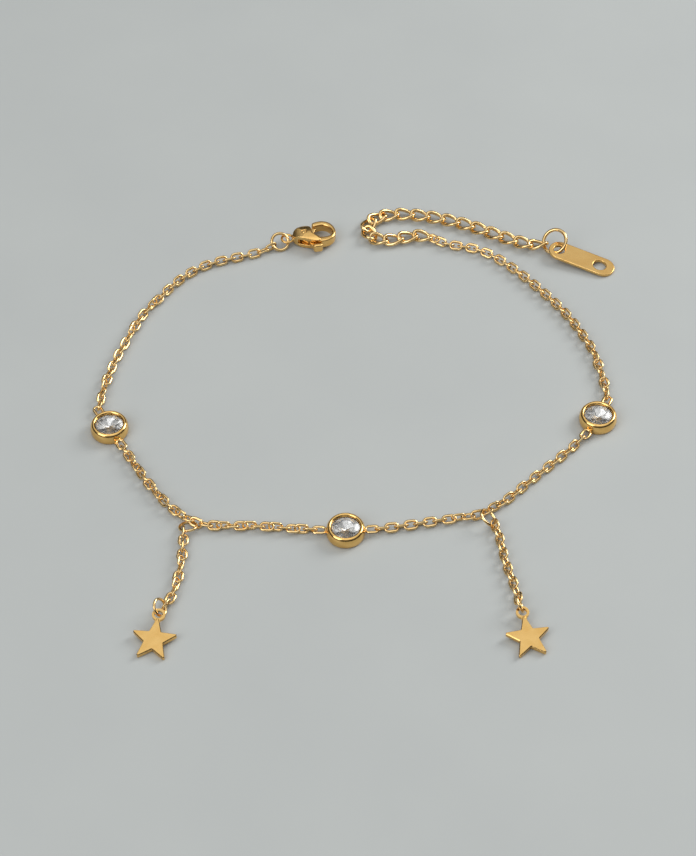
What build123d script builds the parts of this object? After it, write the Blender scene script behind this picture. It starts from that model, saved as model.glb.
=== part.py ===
from build123d import *
import math
import os

# Gold-plated charm anklet with three stone settings, two star charms, a lobster clasp and an
# extender with an oblong tag. It lies open on a flat surface. Millimetres, +Z up, +X to the
# right and +Y away. The origin is under the middle of its box, on the surface it lies on.

# Fine cable chain: oval links of round wire, soldered shut
LINK_LENGTH = 2.40
LINK_WIDTH = 1.70
LINK_WIRE = 0.34
LINK_BEND = (LINK_WIDTH - LINK_WIRE) / 2
LINK_LIFT = 0.01
LINK_MIN_HEIGHT = 0.70
JUNCTION_PITCH = 1.52

# Extender: curb links, each twisted about its own length
CURB_LENGTH = 3.80
CURB_WIDTH = 2.70
CURB_WIRE = 0.50
CURB_TWIST = -42.0
CURB_FULLNESS = 2.4
CURB_POINTS = 20
CURB_HEIGHT = 0.80

# Round rub-over setting, closed underneath
BEZEL_DIAMETER = 6.00
BEZEL_FOOT_DIAMETER = 5.70
BEZEL_HEIGHT = 2.00
BEZEL_BULGE_HEIGHT = 0.75
BEZEL_SHOULDER_DIAMETER = 5.44
BEZEL_SHOULDER_HEIGHT = 1.84
BEZEL_CREST_DIAMETER = 4.86
BEZEL_OPENING = 4.30
BEZEL_SEAT_DIAMETER = 4.62
BEZEL_CUP_DIAMETER = 4.30
BEZEL_LIP_EDGE = 1.68
BEZEL_LIP_UNDER = 1.46
BEZEL_LEDGE_HEIGHT = 1.18
BEZEL_FLOOR = 0.22
WELD_DISTANCE = 4.05
WELD_HEIGHT = 0.80

# Cut stone: table, crown, thin girdle and pointed pavilion
STONE_DIAMETER = 4.50
STONE_TABLE = 2.50
STONE_CROWN_RING = 3.66
STONE_PAVILION_RING = 2.40
STONE_TABLE_HEIGHT = 1.84
STONE_GIRDLE_TOP = 1.38
STONE_GIRDLE_BOTTOM = 1.26
STONE_CULET_HEIGHT = 0.30
STONE_SIDES = 8

# Star charm: a flat five-point star with an eyelet at one tip
STAR_TIP_RADIUS = 3.72
STAR_INNER_RADIUS = 1.53
STAR_STRETCH = 1.065
STAR_TIP_ROUND = 0.20
STAR_CORNER_ROUND = 0.15
STAR_THICKNESS = 0.80
STAR_EDGE = 0.10
STAR_NECK_WIDTH = 0.76
STAR_EYELET_DISTANCE = 4.30
STAR_EYELET_DIAMETER = 1.98
STAR_EYELET_HOLE = 1.26
STAR_EYELET_THICKNESS = 0.50

# Oblong end tag
TAG_LENGTH = 11.60
TAG_WIDTH = 3.90
TAG_THICKNESS = 0.54
TAG_EDGE = 0.12
TAG_RING_HOLE = 1.90
TAG_RING_HOLE_INSET = 1.75
TAG_FAR_HOLE = 2.20
TAG_FAR_HOLE_INSET = 2.55

# Lobster clasp, lying on its side: x runs from the eyelet to the hook, y to the gate's side
CLASP_THICKNESS = 2.60
CLASP_HOOK_THICKNESS = 1.70
CLASP_EYELET_HOLE = 1.50
CLASP_EYELET_WIRE = 0.40
CLASP_EYELET_STEM = (1.30, 1.20, 0.80)
CLASP_DOME = (2.70, 1.30)
CLASP_TAPER = (2.90, 1.32)
CLASP_MIDDLE = (3.50, -0.25)
CLASP_SLOT = 0.96
CLASP_PIVOT = (2.90, 0.05)
CLASP_RIVET_DIAMETER = 0.80
CLASP_RIVET_LENGTH = 2.54
CLASP_RIVET_GAP = 0.02
LEVER_THICKNESS = 0.80
LEVER_PIVOT_GAP = 0.05

# Where each setting lies
BEZEL_PLACES = {
    "left": (-39.80, -3.00),
    "centre": (-2.65, -24.00),
    "right": (37.15, -0.95),
}

# The soldered end links of each setting, as headings from its middle
WELD_HEADINGS = {
    "left": (118.7, -60.0),
    "centre": (177.3, 4.8),
    "right": (65.6, -122.5),
}

# Stretches of fine chain. A route runs from link centre to link centre, through pitches equal
# steps; links first to last of them are this stretch's own. The first is rolled by roll, and
# each next one by its step in turns, given as (number of links, degrees).
STRETCHES = {
    "chain_left_upper": {
        "route": [(-15.67, 37.55), (-20.77, 35.68), (-25.97, 33.75), (-30.35, 30.20),
                  (-33.64, 25.72), (-35.87, 22.28), (-38.02, 16.99), (-39.48, 12.87),
                  (-40.94, 7.44), (-41.59, 3.37), (-41.75, 0.55)],
        "pitches": 35, "first": 0, "last": 34, "junction": None, "roll": 45,
        "turns": [(15, 90), (3, 60), (2, 90), (3, 60), (6, 90), (3, 60), (1, 90), (1, 75)],
    },
    "chain_left_lower": {
        "route": [(-37.78, -6.51), (-35.60, -10.19), (-33.53, -13.65), (-30.36, -18.10),
                  (-27.48, -20.95), (-25.31, -22.23)],
        "pitches": 15, "first": 1, "last": 15, "junction": "end", "roll": 60,
        "turns": [(14, -71.5)],
    },
    "chain_left_centre": {
        "route": [(-25.31, -22.23), (-22.86, -22.83), (-17.36, -22.92), (-12.06, -23.32),
                  (-6.70, -23.81)],
        "pitches": 14, "first": 1, "last": 13, "junction": "start", "roll": 30,
        "turns": [(12, -57.5)],
    },
    "chain_right_centre": {
        "route": [(1.39, -23.66), (5.91, -23.00), (11.75, -21.88), (15.98, -21.10),
                  (17.58, -20.77), (18.85, -20.24)],
        "pitches": 12, "first": 1, "last": 12, "junction": "end", "roll": 60,
        "turns": [(6, 90), (4, 105), (1, 90)],
    },
    "chain_right_lower": {
        "route": [(18.85, -20.24), (20.00, -19.33), (22.18, -17.60), (24.26, -15.53), (28.51, -11.29),
                  (32.90, -6.84), (34.97, -4.37)],
        "pitches": 15, "first": 1, "last": 14, "junction": "start", "roll": 105,
        "turns": [(2, -75), (10, 90), (1, 105)],
    },
    "chain_right_upper": {
        "route": [(38.82, 2.74), (38.81, 5.51), (38.22, 9.57), (37.45, 13.58),
                  (35.92, 17.53), (33.42, 22.46), (30.38, 26.89), (26.97, 31.14),
                  (23.28, 34.97), (19.02, 37.74), (13.99, 39.10), (12.26, 40.20)],
        "pitches": 36, "first": 1, "last": 36, "junction": None, "roll": 75,
        "turns": [(7, 60), (28, 90)],
    },
    "drop_chain_left": {
        "route": [(-27.18, -24.30), (-27.19, -27.57), (-27.47, -31.63), (-28.16, -35.43),
                  (-29.14, -38.14)],
        "pitches": 10, "first": 0, "last": 10, "junction": None, "roll": 90,
        "turns": [(3, 90), (6, 60), (1, 90)],
    },
    "drop_chain_right": {
        "route": [(20.02, -22.77), (20.60, -25.38), (21.27, -29.73), (22.32, -34.15),
                  (22.86, -36.78)],
        "pitches": 10, "first": 0, "last": 10, "junction": None, "roll": -45,
        "turns": [(10, 90)],
    },
}

# Links that lie turned where they meet a ring or another stretch, by their number in the
# stretch: centre, bearing, climb and roll
TURNED_LINKS = {
    "chain_left_upper": {
        0: ((-15.35, 37.96, 0.90), -145.5, -4.7, 92.9),
        1: ((-16.63, 37.18, 0.76), -149.7, -0.6, 150.4),
        2: ((-18.10, 36.55, 0.71), -160.4, 0.1, 225.8),
    },
    "chain_left_lower": {
        -2: ((-26.63, -21.51, 0.78), -28.7, 7.6, 24.4),
        -1: ((-25.38, -22.32, 0.75), -23.1, -6.7, -47.3),
    },
    "chain_left_centre": {
        0: ((-23.85, -22.66, 0.72), -14.8, -2.3, 34.1),
    },
    "chain_right_centre": {
        -2: ((17.44, -20.80, 0.74), 17.1, -1.9, -51.1),
        -1: ((18.89, -20.20, 0.83), 35.0, 2.7, 32.5),
    },
    "chain_right_lower": {
        0: ((20.04, -19.27, 0.83), 29.2, 0.8, 114.4),
    },
    "chain_right_upper": {
        -2: ((13.36, 39.43, 0.74), 148.6, -0.3, 56.7),
        -1: ((12.19, 40.18, 0.74), 143.7, 0.8, 9.4),
    },
    "drop_chain_left": {
        -2: ((-28.60, -36.83, 0.71), -109.8, -1.4, -1.1),
        -1: ((-29.16, -38.13, 0.85), -121.4, -0.3, 101.7),
    },
    "drop_chain_right": {
        0: ((19.98, -22.79, 0.71), -74.5, -0.1, -45.8),
        -1: ((22.85, -36.84, 0.74), -89.9, 3.1, 135.7),
    },
    "extender_chain": {
        0: ((10.33, 40.66, 0.80), 166.1, 0.0, -1.1),
        -2: ((27.32, 39.02, 0.80), -21.4, 0.6, 0.6),
        -1: ((29.77, 38.51, 1.01), 0.9, 6.2, 17.7),
    },
}

# The extender's route, and its pitches from link to link as (number, distance)
EXTENDER_ROUTE = [(10.30, 40.67), (6.60, 40.20), (4.20, 39.75), (2.00, 40.40), (1.00, 42.50),
                  (1.90, 44.60), (4.60, 45.90), (10.17, 45.75), (17.78, 43.51), (25.27, 39.82),
                  (29.58, 38.11)]
EXTENDER_PITCHES = [(3, 2.50), (4, 2.25), (8, 2.66), (2, 2.33)]

# Jump rings: outer diameter, wire, centre and the way their holes face
RINGS = {
    "clasp_ring": (3.36, 0.48, (-13.77, 38.95, 1.17), (0.196, -0.591, 0.783)),
    "junction_ring_left": (3.06, 0.42, (-26.56, -23.04, 0.68), (-0.10, 0.34, 0.93)),
    "junction_ring_right": (3.30, 0.42, (19.01, -21.67, 1.15), (0.639, 0.079, 0.765)),
    "star_ring_left": (3.00, 0.42, (-29.95, -39.11, 1.43), (0.795, -0.190, 0.577)),
    "star_ring_right": (3.00, 0.42, (22.99, -38.46, 1.41), (0.902, 0.205, 0.381)),
    "end_ring": (4.64, 0.56, (32.54, 38.43, 1.77), (-0.426, -0.455, 0.782)),
}

# Stars: middle, the way the eyelet points, and how far the eyelet's end is raised
STAR_PLACES = {
    "left": ((-30.59, -44.58), 82.8, 7.0),
    "right": ((24.04, -44.12), 99.8, 7.0),
}

TAG_MIDDLE = (36.88, 35.12)
TAG_HEADING = -24.5
TAG_TILT = 5.5

CLASP_EYELET_PLACE = (-12.55, 39.57)
CLASP_HEADING = 9.1


def oval_link():
    """One soldered oval link, lying flat with its length along X."""
    straight = LINK_LENGTH - LINK_WIDTH
    bend = Solid.make_torus(LINK_BEND, LINK_WIRE / 2, major_angle=180)
    right = Pos(straight / 2, 0, 0) * Rot(0, 0, -90) * bend
    left = Pos(-straight / 2, 0, 0) * Rot(0, 0, 90) * bend
    side = Rot(0, 90, 0) * Cylinder(LINK_WIRE / 2, straight)
    link = right + left + Pos(0, LINK_BEND, 0) * side + Pos(0, -LINK_BEND, 0) * side
    return link.solid()


def curb_link():
    """One curb link with its length along X, its two ends twisted opposite ways."""
    half_length = (CURB_LENGTH - CURB_WIRE) / 2
    half_width = (CURB_WIDTH - CURB_WIRE) / 2
    points = []
    for step in range(CURB_POINTS):
        angle = 2 * math.pi * step / CURB_POINTS
        cosine, sine = math.cos(angle), math.sin(angle)
        along = math.copysign(abs(cosine) ** (2 / CURB_FULLNESS), cosine)
        across = half_width * math.copysign(abs(sine) ** (2 / CURB_FULLNESS), sine)
        twist = math.radians(CURB_TWIST) * math.sin(along * math.pi / 2)
        points.append((half_length * along, across * math.cos(twist), across * math.sin(twist)))
    path = Spline(*points, periodic=True)
    halves = []
    for run in (path.trim(0, 0.5), path.trim(0.5, 1)):
        section = Plane(origin=run @ 0, z_dir=run % 0) * Circle(CURB_WIRE / 2)
        halves.append(sweep(section, path=run))
    return (halves[0] + halves[1]).solid()


def link_frame(centre, heading, roll):
    """A link's place: length along the heading, rolled about that length."""
    left = Vector(0, 0, 1).cross(heading).normalized()
    turn = math.radians(roll)
    face = heading.cross(left) * math.cos(turn) + left * math.sin(turn)
    return Plane(origin=centre, x_dir=heading, z_dir=face)


def turned_place(centre, bearing, climb, roll):
    """The place of a link whose far end is raised by climb degrees."""
    heading = Vector(1, 0, 0).rotate(Axis.Y, -climb).rotate(Axis.Z, bearing)
    return Vector(*centre), heading, roll


def link_height(roll):
    """Height of a link's centre when it rests on its lower side at this roll."""
    reach = LINK_BEND * abs(math.sin(math.radians(roll))) + LINK_WIRE / 2
    return max(reach, LINK_MIN_HEIGHT) + LINK_LIFT


def fine_chain_places(name):
    """The (centre, heading, roll) of each link that a stretch of fine chain holds."""
    stretch = STRETCHES[name]
    route = Spline(*stretch["route"])
    pitches = stretch["pitches"]
    if stretch["junction"]:
        even = (route.length - JUNCTION_PITCH) / (pitches - 1)
    else:
        even = route.length / pitches
    lead = JUNCTION_PITCH - even if stretch["junction"] == "start" else 0
    rolls = [stretch["roll"]]
    for count, step in stretch["turns"]:
        for _ in range(count):
            rolls.append(rolls[-1] + step)
    places = []
    for index, roll in zip(range(stretch["first"], stretch["last"] + 1), rolls):
        distance = 0 if index == 0 else min(index * even + lead, route.length)
        if index == pitches:
            distance = route.length
        point = route.position_at(distance, position_mode=PositionMode.LENGTH)
        heading = route.tangent_at(distance, position_mode=PositionMode.LENGTH)
        places.append((Vector(point.X, point.Y, link_height(roll)), heading, roll))
    for index, turned in TURNED_LINKS.get(name, {}).items():
        places[index] = turned_place(*turned)
    return places


def fine_chain(name):
    """A stretch of fine chain, its links loose in each other."""
    link = oval_link()
    return Compound([link_frame(*place).location * link for place in fine_chain_places(name)])


def extender_places():
    """The (centre, heading, roll) of each curb link of the extender."""
    route = Spline(*EXTENDER_ROUTE)
    distance = 0
    distances = [distance]
    for count, pitch in EXTENDER_PITCHES:
        for _ in range(count):
            distance += pitch
            distances.append(distance)
    places = []
    for distance in distances:
        point = route.position_at(distance, position_mode=PositionMode.LENGTH)
        heading = route.tangent_at(distance, position_mode=PositionMode.LENGTH)
        places.append((Vector(point.X, point.Y, CURB_HEIGHT), heading, 0))
    for index, turned in TURNED_LINKS["extender_chain"].items():
        places[index] = turned_place(*turned)
    return places


def extender_chain():
    """The curb chain that lengthens the anklet."""
    link = curb_link()
    return Compound([link_frame(*place).location * link for place in extender_places()])


def jump_ring(name):
    """One round jump ring, closed."""
    outer, wire, centre, facing = RINGS[name]
    ring = Solid.make_torus((outer - wire) / 2, wire / 2)
    return Plane(origin=centre, z_dir=facing).location * ring


def bezel(name):
    """A setting: a cup with its lip rubbed over, and the chain's end links soldered to it."""
    radius = BEZEL_DIAMETER / 2
    foot = BEZEL_FOOT_DIAMETER / 2
    shoulder = (BEZEL_SHOULDER_DIAMETER / 2, BEZEL_SHOULDER_HEIGHT)
    crest = (BEZEL_CREST_DIAMETER / 2, BEZEL_HEIGHT)
    opening = BEZEL_OPENING / 2
    seat = BEZEL_SEAT_DIAMETER / 2
    cup = BEZEL_CUP_DIAMETER / 2
    lip_bottom = BEZEL_LIP_UNDER + (seat - opening) / 2
    profile = [
        Line((0, 0), (foot, 0)),
        ThreePointArc((foot, 0), (radius, BEZEL_BULGE_HEIGHT), shoulder),
        ThreePointArc(shoulder, crest, (opening, BEZEL_LIP_EDGE)),
        Polyline((opening, BEZEL_LIP_EDGE), (opening, lip_bottom),
                 (seat, BEZEL_LIP_UNDER), (seat, BEZEL_LEDGE_HEIGHT), (cup, BEZEL_LEDGE_HEIGHT),
                 (cup, BEZEL_FLOOR), (0, BEZEL_FLOOR), (0, 0)),
    ]
    section = Plane.XZ * make_face(profile)
    setting = Pos(*BEZEL_PLACES[name], 0) * revolve(section, Axis.Z)
    link = oval_link()
    middle = Vector(*BEZEL_PLACES[name], WELD_HEIGHT)
    for heading in WELD_HEADINGS[name]:
        away = Vector(1, 0, 0).rotate(Axis.Z, heading)
        setting += link_frame(middle + away * WELD_DISTANCE, away, 0).location * link
    return setting.solid()


def ring_of(count, radius, height, start):
    """Points spaced evenly round a level circle, the first turned by start steps."""
    points = []
    for index in range(count):
        angle = 2 * math.pi * (index + start) / count
        points.append(Vector(radius * math.cos(angle), radius * math.sin(angle), height))
    return points


def between(inner, outer, at_radius):
    """Height at a radius on the line between two (radius, height) pairs."""
    share = (at_radius - inner[0]) / (outer[0] - inner[0])
    return inner[1] + share * (outer[1] - inner[1])


def stone(name):
    """A round stone with 8 main facets above and below the girdle, and the small ones between."""
    table_radius = STONE_TABLE / 2
    girdle_radius = STONE_DIAMETER / 2
    crown_radius = STONE_CROWN_RING / 2
    pavilion_radius = STONE_PAVILION_RING / 2
    facing = math.cos(math.pi / STONE_SIDES)
    crown_height = between((table_radius, STONE_TABLE_HEIGHT),
                           (girdle_radius, STONE_GIRDLE_TOP), crown_radius * facing)
    pavilion_height = between((0, STONE_CULET_HEIGHT),
                              (girdle_radius, STONE_GIRDLE_BOTTOM), pavilion_radius * facing)
    table = ring_of(STONE_SIDES, table_radius, STONE_TABLE_HEIGHT, 0)
    crown = ring_of(STONE_SIDES, crown_radius, crown_height, 0.5)
    girdle_top = ring_of(2 * STONE_SIDES, girdle_radius, STONE_GIRDLE_TOP, 0)
    girdle_bottom = ring_of(2 * STONE_SIDES, girdle_radius, STONE_GIRDLE_BOTTOM, 0)
    pavilion = ring_of(STONE_SIDES, pavilion_radius, pavilion_height, 0.5)
    culet = Vector(0, 0, STONE_CULET_HEIGHT)
    facets = [table]
    for side in range(STONE_SIDES):
        after = (side + 1) % STONE_SIDES
        corner, middle, corner_after = 2 * side, 2 * side + 1, 2 * after
        facets.append([table[side], crown[side], table[after]])
        facets.append([table[side], crown[side - 1], girdle_top[corner], crown[side]])
        facets.append([crown[side], girdle_top[corner], girdle_top[middle]])
        facets.append([crown[side], girdle_top[middle], girdle_top[corner_after]])
        facets.append([culet, pavilion[side], girdle_bottom[corner], pavilion[side - 1]])
        facets.append([pavilion[side], girdle_bottom[middle], girdle_bottom[corner]])
        facets.append([pavilion[side], girdle_bottom[corner_after], girdle_bottom[middle]])
        for here, there in ((corner, middle), (middle, corner_after)):
            facets.append([girdle_top[here], girdle_bottom[here],
                           girdle_bottom[there], girdle_top[there]])
    faces = [Face(Wire.make_polygon(corners, close=True)) for corners in facets]
    return Pos(*BEZEL_PLACES[name], 0) * Solid(Shell(faces))


def star(name):
    """A flat star with rounded tips, and an eyelet on a short neck at one of them."""
    middle, heading, tilt = STAR_PLACES[name]
    corners = []
    for index in range(10):
        radius = STAR_TIP_RADIUS if index % 2 == 0 else STAR_INNER_RADIUS
        angle = math.radians(36 * index)
        corners.append((STAR_STRETCH * radius * math.cos(angle), radius * math.sin(angle)))
    outline = make_face(Polyline(*corners, close=True))
    by_radius = outline.vertices().sort_by_distance((0, 0, 0))
    outline = fillet(by_radius[:5], STAR_CORNER_ROUND)
    tips = outline.vertices().filter_by(lambda corner: Vector(corner).length > 0.9 * STAR_TIP_RADIUS)
    outline = fillet(tips, STAR_TIP_ROUND)
    plate = extrude(outline, STAR_THICKNESS)
    rims = plate.edges().group_by(Axis.Z)
    plate = chamfer(rims[0] + rims[-1], STAR_EDGE)
    eyelet_z = (STAR_THICKNESS - STAR_EYELET_THICKNESS) / 2
    neck_start = STAR_INNER_RADIUS
    neck_length = STAR_EYELET_DISTANCE - STAR_EYELET_HOLE / 2 - 0.1 - neck_start
    neck = Pos(neck_start + neck_length / 2, 0, STAR_THICKNESS / 2)
    neck = neck * Box(neck_length, STAR_NECK_WIDTH, STAR_EYELET_THICKNESS)
    eyelet = Circle(STAR_EYELET_DIAMETER / 2) - Circle(STAR_EYELET_HOLE / 2)
    eyelet = Pos(STAR_EYELET_DISTANCE, 0, eyelet_z) * extrude(eyelet, STAR_EYELET_THICKNESS)
    body = plate + neck + eyelet
    body = body - Pos(STAR_EYELET_DISTANCE, 0, 0) * Cylinder(STAR_EYELET_HOLE / 2, 3)
    tipped = Pos(*middle, 0) * Rot(0, 0, heading) * Rot(0, -tilt, 0) * body
    return Pos(0, 0, -tipped.bounding_box().min.Z) * tipped.solid()


def end_tag():
    """The oblong tag with its ring hole and its larger far hole."""
    outline = SlotOverall(TAG_LENGTH, TAG_WIDTH)
    half = TAG_LENGTH / 2
    outline -= Pos(-half + TAG_RING_HOLE_INSET, 0) * Circle(TAG_RING_HOLE / 2)
    outline -= Pos(half - TAG_FAR_HOLE_INSET, 0) * Circle(TAG_FAR_HOLE / 2)
    plate = extrude(outline, TAG_THICKNESS)
    rims = plate.edges().group_by(Axis.Z)
    plate = fillet(rims[0] + rims[-1], TAG_EDGE)
    tipped = Pos(*TAG_MIDDLE, 0) * Rot(0, 0, TAG_HEADING) * Rot(0, TAG_TILT, 0) * plate
    return Pos(0, 0, -tipped.bounding_box().min.Z) * tipped.solid()


def at_clasp(shape):
    """Move a shape from the clasp's own frame, level at mid-thickness, to where it lies."""
    return Pos(*CLASP_EYELET_PLACE, CLASP_THICKNESS / 2) * Rot(0, 0, CLASP_HEADING) * shape


def slab(outline, thickness):
    """An outline made solid, half its thickness each way."""
    return extrude(outline, thickness / 2, both=True)


def rounded_slab(outline, thickness, edge):
    """A slab with its upper and lower rims rounded."""
    body = slab(outline, thickness)
    rims = body.edges().group_by(Axis.Z)
    return fillet(rims[0] + rims[-1], edge)


def clasp_body():
    """Eyelet, two cheeks with the lever's slot between them, and the fixed hook."""
    cheeks = Spline((1.20, -0.62), (2.10, -1.18), (3.30, -1.72), (4.40, -2.10), (5.30, -2.05),
                    (5.30, -1.30), (4.60, -0.80), (4.24, -0.10), (4.22, 0.75), (3.85, 1.45),
                    (2.90, 1.70), (2.00, 1.36), (1.20, 0.82), periodic=True)
    hook_outside = Spline((3.30, -1.60), (4.30, -2.06), (5.30, -2.27), (6.40, -2.25),
                          (7.60, -1.62), (8.24, -0.30), (8.02, 1.20), (7.30, 2.18),
                          (6.38, 2.60), (5.40, 2.62), (4.72, 2.42))
    hook_tip = ThreePointArc((4.72, 2.42), (4.42, 1.98), (4.74, 1.48))
    hook_inside = Spline((4.74, 1.48), (5.40, 1.56), (6.23, 1.62), (7.05, 1.15), (7.55, 0.30),
                         (7.52, -0.55), (7.10, -1.00), (6.30, -1.20), (5.30, -1.15),
                         (4.50, -0.98), (3.60, -0.70))
    root = Line((3.60, -0.70), (3.30, -1.60))
    hook_outline = make_face([hook_outside, hook_tip, hook_inside, root])
    body = rounded_slab(make_face(cheeks), CLASP_THICKNESS, 0.30)
    along, across = CLASP_MIDDLE
    body &= extrude(Plane.YZ * Pos(across, 0) * Ellipse(*CLASP_DOME), 2 * along)
    body &= extrude(Plane.XZ * Pos(along, 0) * Ellipse(*CLASP_TAPER), along, both=True)
    body += rounded_slab(hook_outline, CLASP_HOOK_THICKNESS, 0.30)
    body += Solid.make_torus((CLASP_EYELET_HOLE + CLASP_EYELET_WIRE) / 2, CLASP_EYELET_WIRE / 2)
    stem_length, stem_width, stem_thickness = CLASP_EYELET_STEM
    body += Pos(1.50, 0) * rounded_slab(Rectangle(stem_length, stem_width), stem_thickness, 0.18)
    slot = Polyline((1.75, -3.0), (4.50, -3.0), (4.50, 1.0), (4.25, 1.0), (4.25, 3.0),
                    (1.75, 3.0), close=True)
    body -= slab(make_face(slot), CLASP_SLOT)
    hole = Circle(CLASP_RIVET_DIAMETER / 2 + CLASP_RIVET_GAP)
    body -= Pos(*CLASP_PIVOT) * slab(hole, 2 * CLASP_THICKNESS)
    return at_clasp(body.solid())


def clasp_lever():
    """The gate that closes the hook, and the thumb nub below the spine, on one boss."""
    outline = Polyline((2.20, 0.55), (2.75, 0.85), (4.05, 1.26), (4.72, 1.38), (5.00, 1.14),
                       (4.60, 0.45), (4.52, -0.30), (4.05, -0.90), (4.32, -1.75),
                       (4.40, -2.58), (5.26, -2.66), (5.40, -3.16), (4.44, -3.24),
                       (3.80, -2.58), (3.40, -1.50), (2.62, -0.72), (2.10, -0.25), close=True)
    face = make_face(outline)
    face = fillet(face.vertices(), 0.14)
    lever = slab(face, LEVER_THICKNESS)
    nub = rounded_slab(Pos(4.82, -2.98) * SlotOverall(1.60, 0.76), 1.50, 0.28)
    lever += nub
    hole = Circle(CLASP_RIVET_DIAMETER / 2 + LEVER_PIVOT_GAP)
    lever -= Pos(*CLASP_PIVOT) * slab(hole, CLASP_THICKNESS)
    return at_clasp(lever.solid())


def clasp_rivet():
    """The pin that the lever turns on."""
    pin = Cylinder(CLASP_RIVET_DIAMETER / 2, CLASP_RIVET_LENGTH)
    pin = chamfer(pin.edges().group_by(Axis.Z)[-1], 0.06)
    return at_clasp(Pos(*CLASP_PIVOT) * pin)


def parts():
    """Every piece of the anklet by name."""
    made = {name: fine_chain(name) for name in STRETCHES}
    made["extender_chain"] = extender_chain()
    for name in RINGS:
        made[name] = jump_ring(name)
    for name in BEZEL_PLACES:
        made["bezel_" + name] = bezel(name)
        made["stone_" + name] = stone(name)
    for name in STAR_PLACES:
        made["star_" + name] = star(name)
    made["end_tag"] = end_tag()
    made["clasp_body"] = clasp_body()
    made["clasp_lever"] = clasp_lever()
    made["clasp_rivet"] = clasp_rivet()
    whole = Compound(list(made.values())).bounding_box()
    shift = Pos(-whole.center().X, -whole.center().Y, -whole.min.Z)
    return {name: shift * shape for name, shape in made.items()}


PARTS = parts()
os.makedirs("parts", exist_ok=True)
for part_name, shape in PARTS.items():
    export_step(shape, "parts/" + part_name + ".step")
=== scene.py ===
import math
import bmesh
import bpy
import numpy as np
from mathutils import Matrix, Vector


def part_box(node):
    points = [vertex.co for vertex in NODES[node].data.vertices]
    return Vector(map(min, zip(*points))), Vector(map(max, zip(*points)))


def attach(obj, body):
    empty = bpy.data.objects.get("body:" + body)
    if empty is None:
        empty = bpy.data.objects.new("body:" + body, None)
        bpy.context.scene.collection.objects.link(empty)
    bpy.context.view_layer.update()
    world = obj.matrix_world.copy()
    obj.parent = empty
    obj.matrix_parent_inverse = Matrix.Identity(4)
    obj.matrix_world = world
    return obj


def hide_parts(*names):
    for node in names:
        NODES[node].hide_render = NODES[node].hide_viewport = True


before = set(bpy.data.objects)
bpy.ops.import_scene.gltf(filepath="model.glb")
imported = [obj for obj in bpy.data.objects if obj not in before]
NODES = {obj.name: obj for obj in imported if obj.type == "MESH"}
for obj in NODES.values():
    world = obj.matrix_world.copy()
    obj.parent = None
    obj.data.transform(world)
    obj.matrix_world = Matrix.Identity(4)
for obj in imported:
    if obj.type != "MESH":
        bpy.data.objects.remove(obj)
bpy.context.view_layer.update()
MM = 0.001

# ---------------------------------------------------------------------------------------------
# The anklet's own sizes, in millimetres and degrees
# ---------------------------------------------------------------------------------------------
# Cable link: outer length and width, breadth of the wire at the sides and the ends, and height
LINK = {"length": 2.40, "width": 1.70, "side": 0.48, "end": 0.38, "thickness": 0.35}
# Curb link: outer length and width, wire, how full the oval is, and its twist from end to end
CURB = {"length": 3.80, "width": 2.70, "wire": 0.66, "fullness": 1.12, "twist": -84.0}

FINE_CHAINS = [
    "chain_left_upper", "chain_left_lower", "chain_left_centre", "chain_right_centre",
    "chain_right_lower", "chain_right_upper", "drop_chain_left", "drop_chain_right",
]

# The two links soldered to each setting: how far out, how high, and which way they head
WELD_DISTANCE = 4.05
WELD_HEIGHT = 0.80
WELD_HEADINGS = {"left": (118.7, -60.0), "centre": (177.3, 4.8), "right": (65.6, -122.5)}

# Section of a setting from the middle of its bottom, round the wall and over the lip, down to
# the ledge and the cup: (radius, height)
SETTING_SECTION = [
    (0.00, 0.00), (2.72, 0.00), (2.82, 0.03), (2.90, 0.16), (2.97, 0.42), (3.00, 0.75),
    (2.98, 1.08), (2.93, 1.38), (2.85, 1.64), (2.74, 1.82), (2.60, 1.94), (2.44, 2.00),
    (2.30, 1.94), (2.20, 1.82), (2.15, 1.68), (2.15, 1.55), (2.31, 1.46), (2.31, 1.18),
    (2.15, 1.18), (2.15, 0.24), (0.00, 0.22),
]

# Jump rings: outer diameter, wire, and where the cut lies round the ring
JUMP_RINGS = {
    "clasp_ring": (3.36, 0.52, 150),
    "junction_ring_left": (3.06, 0.42, 200),
    "junction_ring_right": (3.30, 0.42, 20),
    "star_ring_left": (3.00, 0.42, 120),
    "star_ring_right": (3.00, 0.42, 60),
    "end_ring": (4.64, 0.60, 100),
}
CUT_WIDTH = 0.035

# How the clasp's cast edges are worn round: the size of grain, and the strength and number of
# passes that even it out
TUMBLING = {"grain": 0.06, "strength": 0.5, "passes": 3}

# A stone's facets are flat to this angle, and are foiled where the upward part of the way they
# face is less than this
FACET_ANGLE = 0.5
FOILED_BELOW = -0.1

# How many flats make up what is round, and the sharpest turn that still looks smooth
LINK_FLATS = {"round": 24, "wire": 8}
CURB_FLATS = {"quarter": 9, "wire": 2}
RING_FLATS = {"round": 72, "wire": 16}
SETTING_FLATS = 96
SMOOTH_TO = {"link": 60, "ring": 50, "setting": 55, "stone": 1, "casting": 60}

# Corners as close as this are one corner, in a solid and where a turned setting closes
SAME_CORNER = 0.001
SAME_SEAM = 0.002

# ---------------------------------------------------------------------------------------------
# Finishes, floor, light and camera
# ---------------------------------------------------------------------------------------------
# Breadth of the handling marks on the gold in millimetres. Real ones are finer, and are drawn
# this coarse so that they show. Their pattern is smoothest and roughest at these two shares
MARKS = 0.12
MARK_SHARES = (0.3, 0.7)
# The gold's waves: how deep they are in millimetres, and at which two shares of their pattern
# the darker and the lighter tone lie
WAVE_DEPTH = 0.02
TONE_SHARES = (0.35, 0.62)

# The floor's side in metres, and how broad its clouds are in millimetres
FLOOR_SIDE = 4.0
FLOOR_CLOUD = 25.0

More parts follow.
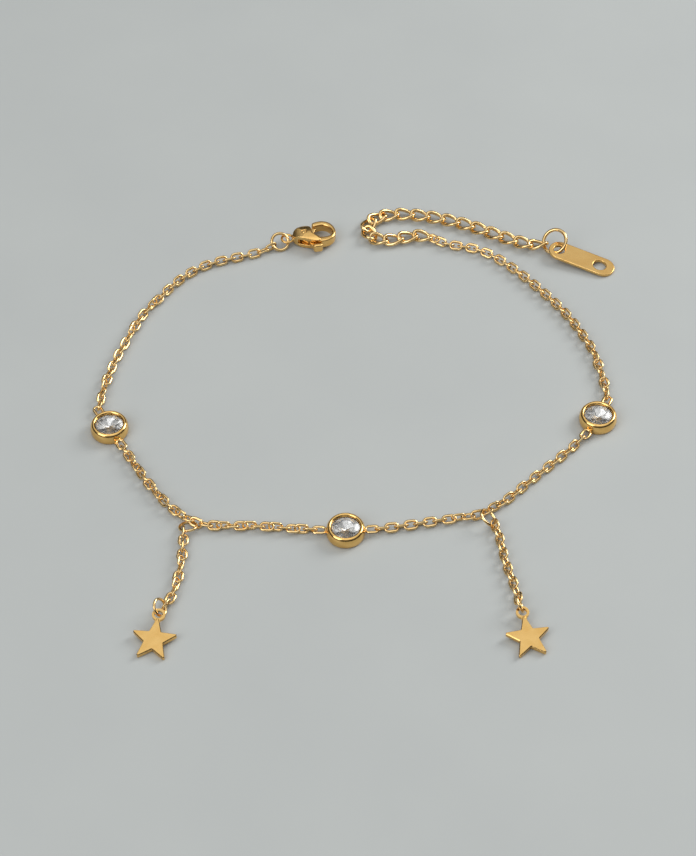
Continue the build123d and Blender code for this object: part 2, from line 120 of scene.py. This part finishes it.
# Softboxes: place and side in metres, and power in watts
SOFTBOXES = {
    "key": ((0.46, 0.30, 0.34), 0.30, 2.3),
    "front_left": ((-0.40, -0.34, 0.42), 0.44, 1.5),
}

# Brightness of the room, from straight down at 0, over the horizon at 0.5, to straight up at 1
ROOM = [
    (0.00, 0.05), (0.50, 0.06), (0.58, 0.12), (0.66, 0.42), (0.74, 0.84), (0.82, 0.84),
    (0.90, 0.72), (1.00, 1.50),
]

# Film, lens and place from the middle setting in millimetres, tilt up from straight down in
# degrees, and nearest and farthest sight in metres
CAMERA = {"film": 36.0, "lens": 124.14, "place": (0.35, -231.6, 281.3), "tilt": 42.0,
          "near": 0.01, "far": 10.0}


# ---------------------------------------------------------------------------------------------
# Colour and nodes
# ---------------------------------------------------------------------------------------------
def linear(code):
    """sRGB hex as linear colour."""
    values = [int(code[place:place + 2], 16) / 255 for place in (1, 3, 5)]
    values = [v / 12.92 if v <= 0.04045 else ((v + 0.055) / 1.055) ** 2.4 for v in values]
    return (*values, 1.0)


def grey(level):
    """A linear grey of this brightness."""
    return (level, level, level, 1)


def add(tree, kind, settings=(), links=()):
    """One node with its settings by socket, and its links as (socket, node, its output)."""
    node = tree.nodes.new(kind)
    for name, value in dict(settings).items():
        node.inputs[name].default_value = value
    for name, other, output in links:
        tree.links.new(other.outputs[output], node.inputs[name])
    return node


def new_material(name):
    """An empty node material, and its node tree."""
    material = bpy.data.materials.new(name)
    material.use_nodes = True
    tree = material.node_tree
    tree.nodes.clear()
    return material, tree


def finish_material(tree, shader):
    """Join a shader to the material's output."""
    add(tree, "ShaderNodeOutputMaterial", links=[("Surface", shader, "BSDF")])


# ---------------------------------------------------------------------------------------------
# Materials
# ---------------------------------------------------------------------------------------------
def gold_plate(name, light, dark, smooth, rough, wave, bump):
    """Gold plate over steel: a coloured mirror, with faint waviness and handling marks."""
    material, tree = new_material(name)
    place = add(tree, "ShaderNodeTexCoord")
    cloud = add(tree, "ShaderNodeTexNoise", settings={"Scale": 1 / (wave * MM), "Detail": 3.0},
                links=[("Vector", place, "Object")])
    fine = add(tree, "ShaderNodeTexNoise", settings={"Scale": 1 / (MARKS * MM), "Detail": 2.0},
               links=[("Vector", place, "Object")])
    colour = add(tree, "ShaderNodeValToRGB", links=[("Fac", cloud, "Fac")])
    for element, share, tone in zip(colour.color_ramp.elements, TONE_SHARES, (dark, light)):
        element.position = share
        element.color = linear(tone)
    dull = add(tree, "ShaderNodeMapRange",
               settings={"From Min": MARK_SHARES[0], "From Max": MARK_SHARES[1],
                         "To Min": smooth, "To Max": rough},
               links=[("Value", fine, "Fac")])
    relief = add(tree, "ShaderNodeBump", settings={"Strength": bump, "Distance": WAVE_DEPTH * MM},
                 links=[("Height", cloud, "Fac")])
    shader = add(tree, "ShaderNodeBsdfPrincipled", settings={"Metallic": 1.0},
                 links=[("Base Color", colour, "Color"), ("Roughness", dull, "Result"),
                        ("Normal", relief, "Normal")])
    finish_material(tree, shader)
    return material


def crystal():
    """Cut lead crystal: clear, glossy and a little more refractive than window glass."""
    material, tree = new_material("cut_crystal")
    shader = add(tree, "ShaderNodeBsdfPrincipled",
                 settings={"Base Color": linear("#F7F9FA"), "Roughness": 0.0, "IOR": 1.56,
                           "Transmission Weight": 1.0})
    finish_material(tree, shader)
    return material


def foil():
    """The silvered foil behind a crystal: a bright mirror that sends the light back up."""
    material, tree = new_material("silver_foil")
    shader = add(tree, "ShaderNodeBsdfPrincipled",
                 settings={"Base Color": linear("#F4F3F1"), "Metallic": 1.0, "Roughness": 0.24})
    finish_material(tree, shader)
    return material


def floor_paint():
    """Matt pale board: soft, even and slightly grey."""
    material, tree = new_material("pale_board")
    place = add(tree, "ShaderNodeTexCoord")
    cloud = add(tree, "ShaderNodeTexNoise",
                settings={"Scale": 1 / (FLOOR_CLOUD * MM), "Detail": 4.0},
                links=[("Vector", place, "Object")])
    colour = add(tree, "ShaderNodeValToRGB", links=[("Fac", cloud, "Fac")])
    for element, tone in zip(colour.color_ramp.elements, ("#B4B8B7", "#BCC0BE")):
        element.color = linear(tone)
    shader = add(tree, "ShaderNodeBsdfPrincipled", settings={"Roughness": 0.55},
                 links=[("Base Color", colour, "Color")])
    finish_material(tree, shader)
    return material


# Plate over polished steel: a clean, warm mirror that keeps the room's edges
POLISHED = gold_plate("polished_gold_plate", light="#F6CB80", dark="#EFC174",
                      smooth=0.12, rough=0.20, wave=1.6, bump=0.08)
# The same plate made paler for the chains, rings and soldered links: painted highlight, a lighter
# copy of the gold that stands in for the cream shine strong light gives fine wire, and for the
# deeper colour light takes on bouncing between links
PAINTED_HIGHLIGHT_GOLD = gold_plate("gold_plate_paled_as_painted_highlight", light="#F8D79C", dark="#F0C987",
                  smooth=0.13, rough=0.22, wave=1.2, bump=0.10)
# Plate over tumbled steel: a soft sheen in which the room is blurred
SATIN = gold_plate("satin_gold_plate", light="#F2C87F", dark="#EBBD73",
                   smooth=0.20, rough=0.27, wave=2.4, bump=0.08)
CRYSTAL = crystal()
FOIL = foil()
BOARD = floor_paint()


# ---------------------------------------------------------------------------------------------
# What every piece needs
# ---------------------------------------------------------------------------------------------
def start_alone():
    """Leave nothing selected, so that an operator acts only on what comes next."""
    if bpy.context.mode != "OBJECT":
        bpy.ops.object.mode_set(mode="OBJECT")
    bpy.ops.object.select_all(action="DESELECT")


def pick(chosen):
    """Select just the chosen vertices of the mesh that is being edited, by their place."""
    bpy.ops.mesh.select_all(action="DESELECT")
    mesh = bpy.context.edit_object.data
    drawing = bmesh.from_edit_mesh(mesh)
    for vertex in drawing.verts:
        vertex.select = chosen(vertex.co)
    drawing.select_flush_mode()
    bmesh.update_edit_mesh(mesh)


def put_in(name, data):
    """A new object in the scene with this mesh, lamp or camera."""
    item = bpy.data.objects.new(name, data)
    bpy.context.scene.collection.objects.link(item)
    return item


def merge_bare(piece):
    """Strip a copy of a node's own solid to its bare shape, with its loose triangles merged."""
    start_alone()
    piece.select_set(True)
    bpy.context.view_layer.objects.active = piece
    piece.data.materials.clear()
    bpy.ops.object.mode_set(mode="EDIT")
    bpy.ops.mesh.select_all(action="SELECT")
    bpy.ops.mesh.remove_doubles(threshold=SAME_CORNER * MM)
    bpy.ops.mesh.customdata_custom_splitnormals_clear()
    bpy.ops.object.mode_set(mode="OBJECT")


def middle_of(node):
    """The middle of a node's box, at floor height."""
    low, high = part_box(node)
    return Vector(((low[0] + high[0]) / 2, (low[1] + high[1]) / 2, 0))


def loose_pieces(node):
    """The centre and axes of each loose solid in a node: longest, middle and shortest way."""
    drawing = bmesh.new()
    drawing.from_mesh(NODES[node].data)
    bmesh.ops.remove_doubles(drawing, verts=drawing.verts, dist=SAME_CORNER * MM)
    drawing.faces.ensure_lookup_table()
    unplaced = set(drawing.faces)
    places = []
    while unplaced:
        first = unplaced.pop()
        solid, reached = [first], [first]
        while reached:
            face = reached.pop()
            for edge in face.edges:
                for other in edge.link_faces:
                    if other in unplaced:
                        unplaced.discard(other)
                        solid.append(other)
                        reached.append(other)
        corners = np.array([[vertex.co for vertex in face.verts] for face in solid], dtype=float)
        areas = np.array([face.calc_area() for face in solid])
        middles = corners.mean(axis=1)
        centre = (areas[:, None] * middles).sum(axis=0) / areas.sum()
        corners -= centre
        middles -= centre
        # A flat triangle spreads as its three corners and nine times its middle do
        spread = np.einsum("f,fvi,fvj->ij", areas, corners, corners)
        spread += 9 * np.einsum("f,fi,fj->ij", areas, middles, middles)
        _, ways = np.linalg.eigh(spread)
        longest, shortest = Vector(ways[:, 2]), Vector(ways[:, 0])
        places.append((Vector(centre), longest, shortest.cross(longest), shortest))
    drawing.free()
    # From left to right, and from near to far where two are level
    places.sort(key=lambda place: (round(place[0].x, 6), round(place[0].y, 6)))
    return places


def to_place(place):
    """The matrix that moves a piece from the origin to a place, as loose_pieces gives one."""
    centre, along, across, up = place
    turn = Matrix((along, across, up)).transposed().to_4x4()
    return Matrix.Translation(centre) @ turn


def copies_at(model, places):
    """A copy of a model, with its own mesh, at each place."""
    copies = []
    for place in places:
        mesh = model.data.copy()
        mesh.transform(to_place(place))
        copies.append(put_in(model.name, mesh))
    return copies


def joined(name, copies):
    """Several objects made one mesh object of this name."""
    start_alone()
    for item in copies:
        item.select_set(True)
    bpy.context.view_layer.objects.active = copies[0]
    bpy.ops.object.join()
    piece = bpy.context.object
    piece.name = name
    piece.data.name = name
    return piece


def dress(piece, node, angle, material=None, body="root"):
    """Give a finished piece its smooth shading, material and body, and hide the node that it stands
    for.
    """
    start_alone()
    piece.select_set(True)
    bpy.context.view_layer.objects.active = piece
    bpy.ops.object.transform_apply(location=True, rotation=True, scale=True)
    bpy.ops.object.shade_smooth_by_angle(angle=math.radians(angle))
    if material:
        piece.data.materials.append(material)
    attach(piece, body)
    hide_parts(node)


# ---------------------------------------------------------------------------------------------
# Chains and rings
# ---------------------------------------------------------------------------------------------
def rolled_link():
    """One oval cable link at the origin, its length along X: rolled, so broader at its sides."""
    start_alone()
    middle = (LINK["width"] - LINK["side"]) / 2
    bpy.ops.mesh.primitive_torus_add(major_radius=middle * MM, minor_radius=LINK["side"] / 2 * MM,
                                     major_segments=LINK_FLATS["round"],
                                     minor_segments=LINK_FLATS["wire"])
    bpy.ops.object.mode_set(mode="EDIT")
    bpy.ops.transform.resize(value=(1, 1, LINK["thickness"] / LINK["side"]))
    # Both halves move apart, the outer rim least and the inner rim most, so that the link grows
    # long and its wire narrower at the ends. A rim starts an eighth of the wire from its middle
    apart = (LINK["length"] - LINK["width"]) / 2
    ease = (LINK["side"] - LINK["end"]) / 2
    edge = LINK["side"] / 8
    for half in (1, -1):
        for low, high, shift in ((middle + edge, LINK["width"], apart),
                                 (middle - edge, middle + edge, apart + ease),
                                 (0, middle - edge, apart + 2 * ease)):
            pick(lambda place: place.x * half > 0
                 and low * MM < math.hypot(place.x, place.y) <= high * MM)
            bpy.ops.transform.translate(value=(half * shift * MM, 0, 0))
    bpy.ops.object.mode_set(mode="OBJECT")
    link = bpy.context.object
    link.name = "link_model"
    return link


def twisted_link():
    """One curb link at the origin: a full oval of round wire, twisted about its length."""
    start_alone()
    bpy.ops.curve.primitive_bezier_circle_add(radius=MM)
    link = bpy.context.object
    reach = ((CURB["length"] - CURB["wire"]) / 2, (CURB["width"] - CURB["wire"]) / 2, 1)
    for point in link.data.splines[0].bezier_points:
        middle = point.co.copy()
        for handle in ("handle_left", "handle_right"):
            free = middle + (getattr(point, handle) - middle) * CURB["fullness"]
            setattr(point, handle + "_type", "FREE")
            setattr(point, handle, Vector([value * times for value, times in zip(free, reach)]))
        point.co = Vector([value * times for value, times in zip(middle, reach)])
    link.data.resolution_u = CURB_FLATS["quarter"]
    link.data.bevel_depth = CURB["wire"] / 2 * MM
    link.data.bevel_resolution = CURB_FLATS["wire"]
    bpy.ops.object.convert(target="MESH")
    link = bpy.context.object
    bpy.ops.object.mode_set(mode="EDIT")
    bpy.ops.mesh.select_all(action="SELECT")
    bpy.ops.mesh.remove_doubles(threshold=SAME_CORNER * MM)
    bpy.ops.mesh.normals_make_consistent(inside=False)
    bpy.ops.object.mode_set(mode="OBJECT")
    twist = link.modifiers.new("twist", "SIMPLE_DEFORM")
    twist.deform_method = "TWIST"
    twist.deform_axis = "X"
    twist.angle = math.radians(CURB["twist"])
    bpy.ops.object.modifier_apply(modifier="twist")
    link.name = "curb_model"
    return link


def fine_chains():
    """Cable links, one model copied to every link's place."""
    model = rolled_link()
    for node in FINE_CHAINS:
        piece = joined(node + "_links", copies_at(model, loose_pieces(node)))
        dress(piece, node, SMOOTH_TO["link"], PAINTED_HIGHLIGHT_GOLD)
    bpy.data.objects.remove(model)


def curb_chain():
    """The extender: twisted links, each through the next."""
    model = twisted_link()
    piece = joined("extender_links", copies_at(model, loose_pieces("extender_chain")))
    dress(piece, "extender_chain", SMOOTH_TO["link"], PAINTED_HIGHLIGHT_GOLD)
    bpy.data.objects.remove(model)


def jump_ring(node, outer, wire, cut):
    """A round jump ring with the hairline where its two cut ends meet."""
    start_alone()
    radius = (outer - wire) / 2 * MM
    gap = CUT_WIDTH / radius * MM
    bpy.ops.mesh.primitive_circle_add(vertices=RING_FLATS["wire"], radius=wire / 2 * MM,
                                      fill_type="NGON", location=(radius, 0, 0),
                                      rotation=(math.pi / 2, 0, 0))
    bpy.ops.object.transform_apply(location=True, rotation=True, scale=True)
    bpy.ops.object.mode_set(mode="EDIT")
    bpy.ops.mesh.select_all(action="SELECT")
    bpy.ops.mesh.spin(steps=RING_FLATS["round"], angle=2 * math.pi - gap, center=(0, 0, 0),
                      axis=(0, 0, 1))
    bpy.ops.mesh.select_all(action="SELECT")
    bpy.ops.mesh.normals_make_consistent(inside=False)
    bpy.ops.object.mode_set(mode="OBJECT")
    ring = bpy.context.object
    centre, _, _, facing = loose_pieces(node)[0]
    level = Vector((0, 0, 1)).cross(facing).normalized()
    ring.data.transform(Matrix.Rotation(math.radians(cut), 4, "Z"))
    ring.data.transform(to_place((centre, level, facing.cross(level), facing)))
    ring.name = node + "_wire"
    dress(ring, node, SMOOTH_TO["ring"], PAINTED_HIGHLIGHT_GOLD)


# ---------------------------------------------------------------------------------------------
# Settings and stones
# ---------------------------------------------------------------------------------------------
def setting(side):
    """A round setting turned from its section, with its two soldered chain links."""
    start_alone()
    bpy.ops.mesh.primitive_plane_add(size=MM)
    piece = bpy.context.object
    drawing = bmesh.new()
    points = [drawing.verts.new((radius * MM, 0, height * MM)) for radius, height in SETTING_SECTION]
    for here, there in zip(points, points[1:]):
        drawing.edges.new((here, there))
    drawing.to_mesh(piece.data)
    drawing.free()
    bpy.ops.object.mode_set(mode="EDIT")
    bpy.ops.mesh.select_all(action="SELECT")
    bpy.ops.mesh.spin(steps=SETTING_FLATS, angle=2 * math.pi, center=(0, 0, 0), axis=(0, 0, 1))
    bpy.ops.mesh.select_all(action="SELECT")
    bpy.ops.mesh.remove_doubles(threshold=SAME_SEAM * MM)
    bpy.ops.mesh.normals_make_consistent(inside=False)
    bpy.ops.object.mode_set(mode="OBJECT")
    middle = middle_of("stone_" + side)
    piece.data.transform(Matrix.Translation(middle))
    piece.data.materials.append(POLISHED)
    model = rolled_link()
    model.data.materials.append(PAINTED_HIGHLIGHT_GOLD)
    up = Vector((0, 0, 1))
    places = []
    for heading in WELD_HEADINGS[side]:
        away = Vector((math.cos(math.radians(heading)), math.sin(math.radians(heading)), 0))
        centre = middle + away * WELD_DISTANCE * MM + up * WELD_HEIGHT * MM
        places.append((centre, away, up.cross(away), up))
    piece = joined("setting_" + side, [piece] + copies_at(model, places))
    dress(piece, "bezel_" + side, SMOOTH_TO["setting"])
    bpy.data.objects.remove(model)


def cut_stone(side):
    """The faceted stone: clear above the girdle, silvered below it."""
    source = NODES["stone_" + side]
    piece = source.copy()
    piece.data = source.data.copy()
    piece.parent = None
    bpy.context.scene.collection.objects.link(piece)
    piece.name = "crystal_" + side
    merge_bare(piece)
    piece.data.materials.append(CRYSTAL)
    piece.data.materials.append(FOIL)
    bpy.ops.object.mode_set(mode="EDIT")
    bpy.ops.mesh.dissolve_limited(angle_limit=math.radians(FACET_ANGLE))
    bpy.ops.object.mode_set(mode="OBJECT")
    for face in piece.data.polygons:
        face.use_smooth = False
        face.material_index = 1 if face.normal.z < FOILED_BELOW else 0
    dress(piece, "stone_" + side, SMOOTH_TO["stone"])


# ---------------------------------------------------------------------------------------------
# Clasp, stars and tag
# ---------------------------------------------------------------------------------------------
def tumbled(node, body):
    """A casting's own solid with its edges worn round, as tumbling leaves them."""
    piece = put_in(node + "_casting", NODES[node].data.copy())
    merge_bare(piece)
    remesh = piece.modifiers.new("remesh", "REMESH")
    remesh.mode = "VOXEL"
    remesh.voxel_size = TUMBLING["grain"] * MM
    bpy.ops.object.modifier_apply(modifier="remesh")
    smooth = piece.modifiers.new("smooth", "SMOOTH")
    smooth.factor = TUMBLING["strength"]
    smooth.iterations = TUMBLING["passes"]
    bpy.ops.object.modifier_apply(modifier="smooth")
    dress(piece, node, SMOOTH_TO["casting"], SATIN, body)


def finish_nodes():
    """Finishes for the pieces whose own solids are shown."""
    for node, material in (("star_left", POLISHED), ("star_right", POLISHED), ("end_tag", SATIN),
                           ("clasp_rivet", SATIN)):
        data = NODES[node].data
        data.materials.clear()
        data.materials.append(material)


# ---------------------------------------------------------------------------------------------
# Floor, light and camera
# ---------------------------------------------------------------------------------------------
def pale_floor():
    """The board that the anklet lies on."""
    start_alone()
    bpy.ops.mesh.primitive_plane_add(size=FLOOR_SIDE)
    floor = bpy.context.object
    floor.name = "floor"
    floor.data.materials.append(BOARD)


def softbox(name, place, side, power):
    """A square studio softbox aimed at the anklet."""
    data = bpy.data.lights.new(name, "AREA")
    data.shape = "SQUARE"
    data.size = side
    data.energy = power
    lamp = put_in(name, data)
    lamp.location = place
    lamp.rotation_euler = (-Vector(place)).to_track_quat("-Z", "Y").to_euler()


def dim_room():
    """A room that is dark low down and bright above, as the gold mirrors it."""
    world = bpy.data.worlds.new("room")
    bpy.context.scene.world = world
    world.use_nodes = True
    tree = world.node_tree
    tree.nodes.clear()
    place = add(tree, "ShaderNodeTexCoord")
    split = add(tree, "ShaderNodeSeparateXYZ", links=[("Vector", place, "Generated")])
    height = add(tree, "ShaderNodeValToRGB", links=[("Fac", split, "Z")])
    elements = height.color_ramp.elements
    for element, (share, level) in zip(elements, (ROOM[0], ROOM[-1])):
        element.position = share
        element.color = grey(level)
    for share, level in ROOM[1:-1]:
        elements.new(share).color = grey(level)
    room = add(tree, "ShaderNodeBackground", settings={"Strength": 1.0},
               links=[("Color", height, "Color")])
    add(tree, "ShaderNodeOutputWorld", links=[("Surface", room, "Background")])


def camera():
    """Looks down from the front, at the middle of the laid-out anklet."""
    data = bpy.data.cameras.new("camera")
    data.sensor_width = CAMERA["film"]
    data.sensor_fit = "HORIZONTAL"
    data.lens = CAMERA["lens"]
    data.clip_start = CAMERA["near"]
    data.clip_end = CAMERA["far"]
    view = put_in("camera", data)
    view.location = middle_of("stone_centre") + Vector(CAMERA["place"]) * MM
    view.rotation_euler = (math.radians(CAMERA["tilt"]), 0, 0)
    bpy.context.scene.camera = view


fine_chains()
curb_chain()
for ring_node, ring_facts in JUMP_RINGS.items():
    jump_ring(ring_node, *ring_facts)
for setting_side in WELD_HEADINGS:
    setting(setting_side)
    cut_stone(setting_side)
tumbled("clasp_body", "root")
tumbled("clasp_lever", "lever")
finish_nodes()
pale_floor()
for lamp_name, lamp_facts in SOFTBOXES.items():
    softbox(lamp_name, *lamp_facts)
dim_room()
camera()
bpy.context.scene.view_settings.view_transform = "Standard"
